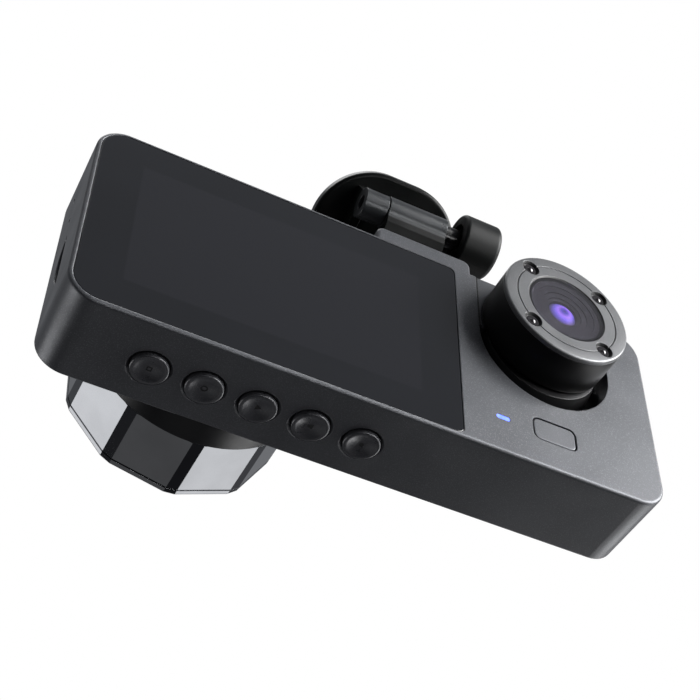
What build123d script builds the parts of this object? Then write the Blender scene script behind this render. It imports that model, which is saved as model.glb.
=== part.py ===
from build123d import *
import os
from math import cos, radians, sin

os.makedirs("parts", exist_ok=True)

# Case, millimetres.  Shapes are drawn about the centre of the case: X along its length,
# -Y towards the road, +Y towards the driver, Z up.
CASE_L = 110.0
CASE_H = 44.4
CASE_D = 17.2
CORNER_R = 5.6
WALL = 1.8
EDGE_R = 0.6
FRAME_T = 3.0            # depth of the rear frame
GAP = 0.10               # clearance between pieces that slide or turn
FIT = 0.05               # clearance of pins in their bores
FAR = 200.0              # beyond every piece

# Boss on top with the slot for the mount tongue
BOSS_X = -8.2
BOSS_W = 19.6
BOSS_H = 3.2
SLOT_W = 17.4
SLOT_H = 4.4
SLOT_DEPTH = 13.4

FRONT_Y = -CASE_D / 2
BACK_Y = CASE_D / 2
SPLIT_Y = BACK_Y - FRAME_T
TOP_Z = CASE_H / 2
BODY_END = CASE_L / 2
INSIDE_Y = FRONT_Y + WALL
SLOT_Z = TOP_Z - 0.2

# Front lens barrel
LENS_X = BODY_END - 29.5
LENS_Z = -1.4
BARREL_R = 20.2          # over the corners of the ten-sided part
BARREL_L = 19.1          # in front of the case
FACETS = 10
FACET_PHASE = 13.0
FACET_EDGE = 3.0         # half the angle of the flat along each corner
BEZEL_T = 1.4
PLINTH_R = BARREL_R + 0.5
PLINTH_T = 5.3
STEP_R = PLINTH_R + 1.9  # low step on the case round the barrel
STEP_T = 0.3
PLATE_R = BARREL_R - 2.5
SPIGOT_R = BARREL_R - 3.4
BARREL_BORE = SPIGOT_R - 1.6
WINDOW_R = 6.65
TRIM_R = WINDOW_R + 2.05
LENS_CELL_R = 6.2
LENS_R = 3.35
FACE_Y = FRONT_Y - BARREL_L
SENSOR_Y = INSIDE_Y + 2.2
SENSOR_BOARD = 24.0

# Cabin camera in its U-shaped recess
CABIN_X = -BODY_END + 22.3
U_R = 13.7
U_Z = TOP_Z - 14.7
POCKET_WALL = 2.0
CRADLE_R = U_R - 1.1
CABIN_R = U_R - 0.8
CABIN_Z = TOP_Z - 10.9
CABIN_FACE_Y = BACK_Y + 8.4
CABIN_BACK_Y = BACK_Y - 0.8
CABIN_WINDOW_R = CABIN_R * 0.6047
CABIN_SPIGOT_R = 0.62 * U_R
CABIN_BORE_R = 0.51 * U_R
CABIN_CELL_R = 0.365 * U_R
CABIN_LENS_R = 0.215 * U_R
SPIGOT_DROP = 1.2        # spigot and sensor below the axis of the barrel
FACE_T = 0.9
IR_CIRCLE_R = CABIN_R * 0.8062
IR_R = 1.15
IR_PHASE = 48.0
TILT_Y = BACK_Y - 5.6
TILT_Z = TOP_Z - 13.3
SWING_R = U_R + 0.8
SWING_FRONT = TILT_Y - 8.6   # front of the room for the cabin camera cradle
WING_DROP = 0.4          # rear face of the case to the plate of the cradle
WING_T = 2.2
WING_GAP = 0.35          # plate to the side of the recess
PIVOT_R = 1.0
PIVOT_IN = 1.2           # depth of the pivot bores in the case

# Screen
GLASS_RIM = 0.8
GLASS_X0 = CABIN_X + U_R + 4.6
GLASS_X1 = BODY_END - GLASS_RIM
GLASS_H = CASE_H - 2 * GLASS_RIM
GLASS_T = 1.0
DISPLAY_T = 2.4

# Buttons
MENU_COUNT = 5
MENU_X0 = 0.0
MENU_PITCH = 9.4
MENU_Y = -0.7
MENU_R = 3.2
MENU_RISE = 0.6          # cap below the underside of the case
MENU_EDGE_R = 0.3
DISH_R = 2.6             # finger dish in the cap
DISH_DEPTH = 0.45
DIMPLE_R = 3.8
DIMPLE_DEPTH = 0.4
MENU_FLANGE = 0.6        # beyond the cap all round
MENU_FLANGE_T = 0.6
MENU_STEM_R = 1.2
MENU_STEM_END = 3.2      # above the underside of the case
PRESS = 0.4
POWER_X = CABIN_X - 0.1
POWER_Z = -TOP_Z + 8.9
POWER_W = 8.4
POWER_H = 4.8
POWER_GAP = 0.25
LED_X = CABIN_X + 10.3
LED_Z = POWER_Z - 0.7
LED_W = 2.6
LED_H = 0.9
RELIEF_W = 34.0          # thinner part of the rear frame round the power button
RELIEF_H = 12.2

# Sockets
USB_X = BODY_END - 19.7
USB_W = 9.3
USB_T = 3.4
JACK_X = BODY_END - 31.6
JACK_R = 1.85
JACK_BORE_R = 1.27
PORT_Y = -0.3
MIC_Z = TOP_Z - 10.2
RESET_Z = TOP_Z - 15.8
HOLE_Y = -1.3
CARD_Z = -5.2
CARD_W = 11.0
CARD_T = 1.0
CARD_L = 15.0
CARD_Y = -0.6
CARD_SIDE = 0.15         # clearance beside the card

# Inside the case
BOARD_Y = 1.5
BOARD_T = 1.2
BOARD_EDGE = 1.0         # case wall to board
BOARD_X0 = CABIN_X + U_R + POCKET_WALL + BOARD_EDGE
BOARD_X1 = BODY_END - WALL - BOARD_EDGE
BOARD_Z0 = -TOP_Z + WALL + GAP + MENU_FLANGE_T + PRESS + 0.6
BOARD_Z1 = TOP_Z - WALL - 4.4
# Main board blocks: distance from its edge, height, width, length and thickness
CHIPS = [
    (18.0, 4.0, 14.0, 14.0, 1.4),
    (6.0, -4.0, 8.0, 10.0, 1.0),
    (18.0, -13.0, 8.0, 3.6, 0.8),
    (15.5, -9.0, 3.0, 2.0, 0.9),
    (20.5, -9.0, 3.0, 2.0, 0.9),
    (25.5, -9.0, 3.0, 2.0, 0.9),
    (30.5, -9.0, 3.0, 2.0, 0.9),
]
POST_R = 2.2
SCREW_R = 0.9
SPEAKER_X = -7.0
SPEAKER_Z = -8.5
SPEAKER_R = 7.4
CELL_R = 3.1
CELL_L = 26.0

# Mount
HINGE_Y = 0.0
HINGE_Z = TOP_Z + 21.1
HINGE_R = 3.2
PIN_R = 1.5
PAD_TILT = 60.0          # direction of the adhesive face above the horizontal
PLATE_W = 30.8
PLATE_L = 40.0
PLATE_CORNER = 12.4
PLATE_T = 2.6
PAD_T = 1.1
PLATE_OFF = HINGE_R + 3.4    # hinge axis to the near side of the plate
PLATE_TOP = 6.6          # hinge axis to the upper edge, along the plate
KNUCKLE_X = BOSS_X + 4.0     # plane between the plate knuckle and the arm knuckle
KNUCKLE_X1 = BOSS_X + 9.0
ARM_X1 = BOSS_X - 8.9
KNOB_R = 5.7
KNOB_X0 = ARM_X1 - 3.3
KNOB_L = 8.0
PIN_IN_KNOB = 5.0
COLLAR_R = 2.2
ARM_T = 2.6              # wall of the arm in front of the case


def at_y(y):
    return Plane(origin=(0, y, 0), x_dir=(1, 0, 0), z_dir=(0, -1, 0))


def slab(sketch, y0, y1):
    """Solid from a sketch of X and Z between two stations of Y."""
    return extrude(at_y(y1) * sketch, amount=y1 - y0)


def block(x0, x1, y0, y1, z0, z1):
    return Pos((x0 + x1) / 2, (y0 + y1) / 2, (z0 + z1) / 2) * Box(x1 - x0, y1 - y0, z1 - z0)


def rod_x(r, x0, x1, y, z):
    return Pos((x0 + x1) / 2, y, z) * Rot(0, 90, 0) * Cylinder(r, x1 - x0)


def rod_y(r, y0, y1, x, z):
    return Pos(x, (y0 + y1) / 2, z) * Rot(90, 0, 0) * Cylinder(r, y1 - y0)


def rod_z(r, z0, z1, x, y):
    return Pos(x, y, (z0 + z1) / 2) * Cylinder(r, z1 - z0)


def cone_y(r0, y0, r1, y1, x, z):
    """Cone with radius r0 at y0 and r1 at y1, y1 below y0."""
    return Pos(x, (y0 + y1) / 2, z) * Rot(90, 0, 0) * Cone(r0, r1, y0 - y1)


def soften(solid, radius, axis, value):
    """Round the edges lying in one plane."""
    lo = value - 0.01
    hi = value + 0.01
    return fillet(solid.edges().filter_by_position(axis, lo, hi), radius)


# ---------------------------------------------------------------- case

def case_outline(inset=0.0):
    return RectangleRounded(CASE_L - 2 * inset, CASE_H - 2 * inset, CORNER_R - inset)


def boss_outline():
    top = TOP_Z + BOSS_H
    low = TOP_Z - SLOT_H
    shape = Pos(BOSS_X, (top + low) / 2) * Rectangle(BOSS_W, top - low)
    return fillet(shape.vertices().group_by(Axis.Y)[-1], 1.6)


def case_block():
    solid = slab(case_outline() + boss_outline(), FRONT_Y, BACK_Y)
    solid = soften(solid, EDGE_R, Axis.Y, FRONT_Y)
    return soften(solid, EDGE_R, Axis.Y, BACK_Y)


def slot_space():
    shape = Pos(BOSS_X, SLOT_Z) * SlotOverall(SLOT_W, SLOT_H)
    return slab(shape, FRONT_Y - 1, FRONT_Y + SLOT_DEPTH)


def u_outline(radius, centre_z):
    leg_h = CASE_H
    leg = Pos(CABIN_X, centre_z + leg_h / 2) * Rectangle(2 * radius, leg_h)
    return leg + Pos(CABIN_X, centre_z) * Circle(radius)


def swing_space():
    """Room in which the cabin camera cradle tilts."""
    x0 = CABIN_X - U_R
    x1 = CABIN_X + U_R
    drum = rod_x(SWING_R, x0, x1, TILT_Y, TILT_Z)
    drum = drum & block(x0, x1, SWING_FRONT, BACK_Y + SWING_R, -FAR, FAR)
    pins = rod_x(PIVOT_R + FIT, x0 - PIVOT_IN, x1 + PIVOT_IN, TILT_Y, TILT_Z)
    return drum + pins + slab(u_outline(U_R, U_Z), SPLIT_Y - 1.0, BACK_Y + 1)


def button_holes():
    """Bore of each menu button with the conical dimple round it."""
    bore_r = MENU_R + GAP + FIT
    spaces = []
    for k in range(MENU_COUNT):
        x = MENU_X0 + k * MENU_PITCH
        spaces.append(rod_z(bore_r, -TOP_Z - 1, -TOP_Z + 4, x, MENU_Y))
        dimple = Cone(DIMPLE_R, bore_r, DIMPLE_DEPTH)
        spaces.append(Pos(x, MENU_Y, -TOP_Z + DIMPLE_DEPTH / 2) * dimple)
    return spaces


def usb_outline(grow=0.0):
    return SlotOverall(USB_W + 2 * grow, USB_T + 2 * grow)


def port_spaces():
    usb = Pos(USB_X, PORT_Y, TOP_Z - 3) * extrude(usb_outline(), 5)
    jack = rod_z(JACK_R, TOP_Z - 3, TOP_Z + 1, JACK_X, PORT_Y)
    mic = rod_x(0.5, BODY_END - 3, BODY_END + 1, HOLE_Y, MIC_Z)
    reset = rod_x(0.55, BODY_END - 3, BODY_END + 1, HOLE_Y, RESET_Z)
    return [usb, jack, mic, reset]


def card_notch():
    """Finger notch with a flat rear side and a bowed front side, and the card slot."""
    chord = CARD_W + 1.5
    bow = 3.3
    r = (chord * chord / 4 + bow * bow) / (2 * bow)
    flat_y = CARD_Y + CARD_T / 2 + GAP
    disc = rod_x(r, BODY_END - 1.5, BODY_END + 1, flat_y - bow + r, CARD_Z)
    notch = disc & block(BODY_END - 1.5, BODY_END + 1, flat_y - 5, flat_y, CARD_Z - 9, CARD_Z + 9)
    half = CARD_W / 2 + CARD_SIDE
    y0 = CARD_Y - CARD_T / 2 - GAP
    slot = block(BODY_END - 4, BODY_END, y0, flat_y, CARD_Z - half, CARD_Z + half)
    return notch + slot


def screw_points():
    left = BOARD_X0 + 3.0
    right = BOARD_X1 - 5.7
    top = BOARD_Z1 - 3.2
    low = BOARD_Z0 + 2.4
    return [(left, top), (left, low), (right, low), (right, top)]


def step_disc():
    return rod_y(STEP_R, FRONT_Y - STEP_T, FRONT_Y + 1, LENS_X, LENS_Z)


def front_shell():
    solid = case_block() & block(-FAR, FAR, FRONT_Y - 1, SPLIT_Y, -FAR, FAR)
    solid -= slab(case_outline(WALL), INSIDE_Y, SPLIT_Y + 1)
    reach = U_R + POCKET_WALL
    low = U_Z - reach + 0.2
    pocket = block(CABIN_X - reach, CABIN_X + reach, FRONT_Y, SPLIT_Y, low, TOP_Z)
    solid += pocket & slab(case_outline(0.5), INSIDE_Y - 0.2, SPLIT_Y)
    roof_x0 = BOSS_X - BOSS_W / 2
    roof_x1 = BOSS_X + BOSS_W / 2
    solid += block(roof_x0, roof_x1, INSIDE_Y - 0.5, SPLIT_Y - 0.6, TOP_Z - 4.0, TOP_Z - 0.5)
    solid += slab(case_outline(EDGE_R), FRONT_Y - STEP_T, FRONT_Y + 0.5) & step_disc()
    for x, z in screw_points():
        solid += rod_y(POST_R, INSIDE_Y - 0.3, BOARD_Y - 0.02, x, z)
        solid -= rod_y(SCREW_R + FIT, BOARD_Y - 5.5, BOARD_Y + 1, x, z)
    solid -= swing_space()
    solid -= slot_space()
    solid -= rod_y(SPIGOT_R + FIT, FRONT_Y - 1, INSIDE_Y + 1, LENS_X, LENS_Z)
    for space in button_holes() + port_spaces():
        solid -= space
    return solid - card_notch()


def glass_outline(inset=0.0):
    width = GLASS_X1 - GLASS_X0 - 2 * inset
    height = GLASS_H - 2 * inset
    shape = Pos((GLASS_X0 + GLASS_X1) / 2, 0) * Rectangle(width, height)
    outer = shape.vertices().group_by(Axis.X)[-1]
    shape = fillet(outer, CORNER_R - GLASS_RIM - inset)
    inner = shape.vertices().group_by(Axis.X)[0]
    return fillet(inner, 1.3)


def power_outline(grow=0.0):
    shape = RectangleRounded(POWER_W + 2 * grow, POWER_H + 2 * grow, 1.2 + grow)
    return Pos(POWER_X, POWER_Z) * shape


def led_outline(grow=0.0):
    return Pos(LED_X, LED_Z) * SlotOverall(LED_W + 2 * grow, LED_H + 2 * grow)


def rear_frame():
    solid = case_block() & block(-FAR, FAR, SPLIT_Y, BACK_Y + 1, -FAR, FAR)
    solid -= slab(glass_outline(-0.08), BACK_Y - GLASS_T - FIT, BACK_Y + 1)
    solid -= slab(glass_outline(2.4), SPLIT_Y - 1, BACK_Y)
    relief = Pos(POWER_X - 2.4, POWER_Z) * RectangleRounded(RELIEF_W, RELIEF_H, 2.0)
    solid -= slab(relief, SPLIT_Y - 1, BACK_Y - 1.5)
    solid -= slab(u_outline(U_R, U_Z), SPLIT_Y - 1, BACK_Y + 1)
    solid -= slab(power_outline(POWER_GAP), SPLIT_Y - 1, BACK_Y + 1)
    solid -= slab(led_outline(FIT), SPLIT_Y - 1, BACK_Y + 1)
    lip = slab(case_outline(WALL + FIT) - case_outline(WALL + 1.2), SPLIT_Y - 1.5, SPLIT_Y + 0.2)
    left = lip & block(-FAR, CABIN_X - U_R - POCKET_WALL - 0.3, -FAR, FAR, -FAR, FAR)
    right = lip & block(BOSS_X + BOSS_W / 2 + 0.5, FAR, -FAR, FAR, -FAR, FAR)
    return solid + left + right


# ---------------------------------------------------------------- front camera

def facet_outline(radius):
    pts = []
    for k in range(FACETS):
        for side in (-FACET_EDGE, FACET_EDGE):
            a = radians(FACET_PHASE + k * 360 / FACETS + side)
            pts.append((LENS_X + radius * cos(a), LENS_Z + radius * sin(a)))
    return make_face(Polyline(*pts, close=True))


def lens_barrel():
    seat = FACE_Y + BEZEL_T
    root = FRONT_Y - PLINTH_T
    base = FRONT_Y - STEP_T
    solid = cone_y(PLINTH_R, base, BARREL_R + 0.1, root, LENS_X, LENS_Z)
    solid = soften(solid, 0.3, Axis.Y, root)
    solid += slab(facet_outline(BARREL_R), seat, root + 0.5)
    solid += rod_y(PLATE_R + 0.25, seat - 0.4, seat, LENS_X, LENS_Z)
    solid += rod_y(SPIGOT_R, FRONT_Y - 0.5, SENSOR_Y, LENS_X, LENS_Z)
    solid -= rod_y(BARREL_BORE, FACE_Y + 4.5, INSIDE_Y + 3, LENS_X, LENS_Z)
    return solid - rod_y(TRIM_R + 0.2, FACE_Y - 1, FACE_Y + 5, LENS_X, LENS_Z)


def barrel_bezel():
    solid = slab(facet_outline(BARREL_R), FACE_Y, FACE_Y + BEZEL_T)
    solid = chamfer(solid.edges().filter_by_position(Axis.Y, FACE_Y - 0.01, FACE_Y + 0.01), 0.45)
    return solid - rod_y(PLATE_R + 0.3, FACE_Y - 1, FACE_Y + 2, LENS_X, LENS_Z)


def ring_y(r_out, r_in, y0, y1, x, z):
    return rod_y(r_out, y0, y1, x, z) - rod_y(r_in, y0 - 1, y1 + 1, x, z)


def bezel_plate():
    solid = rod_y(PLATE_R, FACE_Y + 0.1, FACE_Y + 1.0, LENS_X, LENS_Z)
    solid = soften(solid, 0.2, Axis.Y, FACE_Y + 0.1)
    return solid - rod_y(TRIM_R + 0.15, FACE_Y - 1, FACE_Y + 2, LENS_X, LENS_Z)


def window_ring():
    ring = ring_y(TRIM_R, WINDOW_R + 0.12, FACE_Y + 0.2, FACE_Y + 1.6, LENS_X, LENS_Z)
    flange = ring_y(TRIM_R, WINDOW_R - 1.05, FACE_Y + 1.2, FACE_Y + 1.6, LENS_X, LENS_Z)
    return ring + flange


def lens_window():
    return rod_y(WINDOW_R, FACE_Y + 0.35, FACE_Y + 1.2, LENS_X, LENS_Z)


def lens_cell():
    body = rod_y(LENS_CELL_R, FACE_Y + 3.2, SENSOR_Y, LENS_X, LENS_Z)
    nose = rod_y(4.6, FACE_Y + 2.0, FACE_Y + 3.3, LENS_X, LENS_Z)
    foot = slab(Pos(LENS_X, LENS_Z) * RectangleRounded(16, 16, 1.5), SENSOR_Y - 2.4, SENSOR_Y)
    bore = rod_y(LENS_R + FIT, FACE_Y + 1, SENSOR_Y + 1, LENS_X, LENS_Z)
    return body + nose + foot - bore


def lens_front_glass():
    r = 5.4
    depth = 1.0
    cap = Pos(LENS_X, FACE_Y + 2.6 + r - depth, LENS_Z) * Sphere(r)
    return cap & rod_y(LENS_R, FACE_Y + 1.5, FACE_Y + 3.6, LENS_X, LENS_Z)


def lens_rear_glass():
    return rod_y(LENS_R, FACE_Y + 12.0, FACE_Y + 13.4, LENS_X, LENS_Z)


def lock_ring():
    return ring_y(SPIGOT_R + 1.9, SPIGOT_R + FIT, INSIDE_Y, INSIDE_Y + 1.6, LENS_X, LENS_Z)


def front_sensor_board():
    outline = Pos(LENS_X, LENS_Z) * RectangleRounded(SENSOR_BOARD, SENSOR_BOARD, 1)
    board = slab(outline, SENSOR_Y, SENSOR_Y + 1.0)
    chip = slab(Pos(LENS_X, LENS_Z) * Rectangle(4.6, 3.6), SENSOR_Y - 0.7, SENSOR_Y + 0.1)
    return board + chip


# ---------------------------------------------------------------- cabin camera

def cradle():
    """Ball behind the cabin camera barrel, with a plate that closes the recess beside it."""
    ball = Pos(CABIN_X, TILT_Y, TILT_Z) * Rot(0, 0, 90) * Sphere(CRADLE_R)
    solid = ball & block(-FAR, FAR, TILT_Y - 5.0, CABIN_BACK_Y, -FAR, TOP_Z - GAP)
    half = U_R - WING_GAP
    wing_y = BACK_Y - WING_DROP
    wing = block(CABIN_X - half, CABIN_X + half, wing_y - WING_T, wing_y, TILT_Z, TOP_Z - GAP)
    wing -= rod_y(CABIN_R + GAP, CABIN_BACK_Y - GAP, BACK_Y, CABIN_X, CABIN_Z)
    solid += wing
    bore_r = CABIN_SPIGOT_R + 2 * FIT
    solid -= rod_y(bore_r, TILT_Y - 3.4, BACK_Y, CABIN_X, CABIN_Z - SPIGOT_DROP)
    for side in (-1, 1):
        x = CABIN_X + side * CRADLE_R
        solid -= rod_x(PIVOT_R + FIT, x - PIVOT_IN - GAP, x + PIVOT_IN, TILT_Y, TILT_Z)
    return solid


def pivot_pins():
    pins = []
    for side in (-1, 1):
        inner = CABIN_X + side * (CRADLE_R - PIVOT_IN)
        outer = CABIN_X + side * (U_R + 1.0)
        pins.append(rod_x(PIVOT_R, min(inner, outer), max(inner, outer), TILT_Y, TILT_Z))
    return pins[0] + pins[1]


def cabin_barrel():
    y0 = CABIN_BACK_Y
    y1 = CABIN_FACE_Y - FACE_T
    low = CABIN_Z - SPIGOT_DROP
    solid = rod_y(CABIN_R, y0, y1, CABIN_X, CABIN_Z)
    solid = soften(solid, 0.5, Axis.Y, y1)
    solid = soften(solid, 1.0, Axis.Y, y0)
    spigot = rod_y(CABIN_SPIGOT_R, TILT_Y - 1.0, y0 + 0.5, CABIN_X, low)
    bore = rod_y(CABIN_BORE_R, TILT_Y - 2, CABIN_FACE_Y - 2.4, CABIN_X, low)
    front = rod_y(CABIN_WINDOW_R - 0.8, CABIN_FACE_Y - 4, CABIN_FACE_Y, CABIN_X, CABIN_Z)
    return solid + spigot - bore - front


def ir_points():
    pts = []
    for k in range(4):
        a = radians(IR_PHASE + 90 * k)
        pts.append((CABIN_X + IR_CIRCLE_R * cos(a), CABIN_Z + IR_CIRCLE_R * sin(a)))
    return pts


def cabin_face():
    y0 = CABIN_FACE_Y - FACE_T
    solid = rod_y(CABIN_R, y0, CABIN_FACE_Y, CABIN_X, CABIN_Z)
    solid = soften(solid, 0.35, Axis.Y, CABIN_FACE_Y)
    solid -= rod_y(CABIN_WINDOW_R + FIT, y0 - 1, CABIN_FACE_Y + 1, CABIN_X, CABIN_Z)
    for x, z in ir_points():
        solid -= rod_y(IR_R + FIT, y0 - 1, CABIN_FACE_Y + 1, x, z)
    return solid


def cabin_window():
    y0 = CABIN_FACE_Y - FACE_T
    return rod_y(CABIN_WINDOW_R, y0, CABIN_FACE_Y - 0.15, CABIN_X, CABIN_Z)


def ir_lamps():
    lamps = []
    y0 = CABIN_FACE_Y - FACE_T
    for x, z in ir_points():
        body = rod_y(IR_R, y0, CABIN_FACE_Y - 0.35, x, z)
        dome = Pos(x, y0, z) * Sphere(0.85)
        keep = rod_y(IR_R, y0, CABIN_FACE_Y, x, z)
        lamps.append(body + (dome & keep))
    return lamps[0] + lamps[1] + lamps[2] + lamps[3]


def cabin_lens_cell():
    body = rod_y(CABIN_CELL_R, TILT_Y + 2.0, CABIN_FACE_Y - 1.9, CABIN_X, CABIN_Z)
    return body - rod_y(CABIN_LENS_R + FIT, TILT_Y + 1, CABIN_FACE_Y, CABIN_X, CABIN_Z)


def cabin_lens_glass():
    cap = Pos(CABIN_X, CABIN_FACE_Y - 6.0, CABIN_Z) * Sphere(4.8)
    return cap & rod_y(CABIN_LENS_R, CABIN_FACE_Y - 4.0, CABIN_FACE_Y, CABIN_X, CABIN_Z)


def cabin_sensor_board():
    z = CABIN_Z - SPIGOT_DROP
    board = rod_y(CABIN_BORE_R - GAP, TILT_Y + 0.9, TILT_Y + 1.9, CABIN_X, z)
    chip = slab(Pos(CABIN_X, z) * Rectangle(4.6, 4.0), TILT_Y + 1.8, TILT_Y + 2.4)
    inside = rod_y(CABIN_LENS_R - FIT, TILT_Y, TILT_Y + 6, CABIN_X, CABIN_Z)
    return board + (chip & inside)


# ---------------------------------------------------------------- screen, boards and sockets

def screen_glass():
    y1 = BACK_Y - FIT
    return soften(slab(glass_outline(), y1 - GLASS_T, y1), 0.15, Axis.Y, y1)


def lcd_panel():
    y1 = BACK_Y - GLASS_T - FIT
    return slab(glass_outline(3.2), y1 - DISPLAY_T, y1)


def main_board():
    y1 = BOARD_Y + BOARD_T
    board = block(BOARD_X0, BOARD_X1, BOARD_Y, y1, BOARD_Z0, BOARD_Z1)
    for x, z in screw_points():
        board -= rod_y(SCREW_R + 0.2, BOARD_Y - 1, y1 + 1, x, z)
    for x, z, w, h, t in CHIPS:
        cx = BOARD_X0 + x
        board += block(cx - w / 2, cx + w / 2, BOARD_Y - t, BOARD_Y + 0.1, z - h / 2, z + h / 2)
    return board


def usb_socket():
    shell = Pos(USB_X, PORT_Y, TOP_Z - 8.3) * extrude(SlotOverall(8.94, 3.26), 7.3)
    mouth = Pos(USB_X, PORT_Y, TOP_Z - 7.2) * extrude(SlotOverall(8.34, 2.56), 8)
    tongue = block(USB_X - 3.3, USB_X + 3.3, PORT_Y - 0.35, PORT_Y + 0.35, TOP_Z - 8, TOP_Z - 2.2)
    return shell - mouth + tongue


def av_jack():
    body = block(JACK_X - 3, JACK_X + 3, PORT_Y - 2.6, BOARD_Y, TOP_Z - 11.5, TOP_Z - WALL)
    collar = rod_z(JACK_R - FIT, TOP_Z - WALL - 0.5, TOP_Z - 0.6, JACK_X, PORT_Y)
    bore = rod_z(JACK_BORE_R, TOP_Z - 10.5, TOP_Z, JACK_X, PORT_Y)
    return body + collar - bore


def card_socket():
    x0 = BODY_END - 18.5
    x1 = BODY_END - WALL - 0.3
    y0 = CARD_Y - CARD_T / 2 - 0.5
    half = CARD_W / 2 + 1.1
    body = block(x0, x1, y0, BOARD_Y, CARD_Z - half, CARD_Z + half)
    inner = CARD_W / 2 + CARD_SIDE
    y_lo = CARD_Y - CARD_T / 2 - GAP
    y_hi = CARD_Y + CARD_T / 2 + GAP
    return body - block(x0 + 0.8, x1 + 1, y_lo, y_hi, CARD_Z - inner, CARD_Z + inner)


def memory_card():
    x1 = BODY_END - 0.9
    card = Pos(x1 - CARD_L / 2, CARD_Z) * RectangleRounded(CARD_L, CARD_W, 0.7)
    return slab(card, CARD_Y - CARD_T / 2, CARD_Y + CARD_T / 2)


def microphone():
    x1 = BODY_END - WALL
    return rod_x(2.0, x1 - 2.6, x1, HOLE_Y, MIC_Z)


def reset_switch():
    x1 = BODY_END - WALL
    body = block(x1 - 3.2, x1 - 0.5, HOLE_Y - 1.3, HOLE_Y + 1.3, RESET_Z - 1.3, RESET_Z + 1.3)
    return body + rod_x(0.8, x1 - 0.6, x1 - 0.1, HOLE_Y, RESET_Z)


def backup_cell():
    x0 = -BODY_END + 5.0
    return rod_x(CELL_R, x0, x0 + CELL_L, INSIDE_Y + CELL_R + 0.8, POWER_Z - 0.7)


def speaker():
    y0 = INSIDE_Y
    cone = rod_y(SPEAKER_R, y0, y0 + 3.2, SPEAKER_X, SPEAKER_Z)
    magnet = rod_y(4.0, y0 + 3.2, y0 + 4.6, SPEAKER_X, SPEAKER_Z)
    return cone + magnet


def menu_button(k):
    x = MENU_X0 + k * MENU_PITCH
    z0 = -TOP_Z - MENU_RISE
    inside = -TOP_Z + WALL + GAP
    top = inside + MENU_FLANGE_T
    dish_r = (DISH_R * DISH_R + DISH_DEPTH * DISH_DEPTH) / (2 * DISH_DEPTH)
    cap = rod_z(MENU_R, z0, inside + 0.5, x, MENU_Y)
    cap = soften(cap, MENU_EDGE_R, Axis.Z, z0)
    cap -= Pos(x, MENU_Y, z0 + DISH_DEPTH - dish_r) * Sphere(dish_r)
    flange = rod_z(MENU_R + MENU_FLANGE, inside, top, x, MENU_Y)
    stem = rod_z(MENU_STEM_R, inside + 0.5, -TOP_Z + MENU_STEM_END, x, MENU_Y)
    return cap + flange + stem


def button_board():
    """Strip board with one tact switch behind each menu button."""
    x_mid = MENU_X0 + MENU_PITCH * (MENU_COUNT - 1) / 2
    half = MENU_PITCH * MENU_COUNT / 2
    z0 = -TOP_Z + MENU_STEM_END + PRESS + 0.7
    board = block(x_mid - half, x_mid + half, MENU_Y - 2.4, BOARD_Y - 0.1, z0 + 0.8, z0 + 1.6)
    for k in range(MENU_COUNT):
        x = MENU_X0 + k * MENU_PITCH
        board += block(x - 1.9, x + 1.9, MENU_Y - 1.9, MENU_Y + 1.9, z0, z0 + 0.9)
    return board


def power_button():
    y1 = BACK_Y - FIT
    cap = soften(slab(power_outline(), SPLIT_Y + 0.9, y1), 0.2, Axis.Y, y1)
    lip = slab(power_outline(0.6), SPLIT_Y + 0.4, BACK_Y - 1.5 - GAP)
    stem = rod_y(1.2, SPLIT_Y - 0.4, SPLIT_Y + 1.0, POWER_X, POWER_Z)
    return cap + lip + stem


def power_switch():
    y1 = SPLIT_Y - 0.4 - PRESS - 0.1
    body = block(POWER_X - 2, POWER_X + 2, y1 - 1.6, y1, POWER_Z - 2, POWER_Z + 2)
    board = block(POWER_X - 9, POWER_X + 11.4, y1 - 2.4, y1 - 1.6, POWER_Z - 5, POWER_Z + 2.4)
    return body + board


def status_light():
    head = slab(led_outline(), SPLIT_Y + 0.2, BACK_Y - FIT)
    foot = slab(led_outline(0.5), SPLIT_Y - 1.2, SPLIT_Y + 0.3)
    return head + foot


def board_screws():
    screws = []
    seat = BOARD_Y + BOARD_T
    for x, z in screw_points():
        shank = rod_y(SCREW_R, BOARD_Y - 5.0, seat + 0.1, x, z)
        head = soften(rod_y(1.9, seat, seat + 1.1, x, z), 0.4, Axis.Y, seat + 1.1)
        screws.append(shank + head)
    return screws[0] + screws[1] + screws[2] + screws[3]


# ---------------------------------------------------------------- mount

def plate_frame():
    """Plane through the hinge axis; local x along X, local y up the plate, z to the glass."""
    a = radians(PAD_TILT)
    return Plane(origin=(BOSS_X, HINGE_Y, HINGE_Z), x_dir=(1, 0, 0), z_dir=(0, -cos(a), sin(a)))


def plate_outline(inset=0.0):
    shape = RectangleRounded(PLATE_W - 2 * inset, PLATE_L - 2 * inset, PLATE_CORNER - inset)
    return Pos(0, PLATE_TOP - PLATE_L / 2) * shape


def mount_pad():
    start = PLATE_OFF + PLATE_T
    return plate_frame() * (Pos(0, 0, start) * extrude(plate_outline(0.8), PAD_T))


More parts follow.
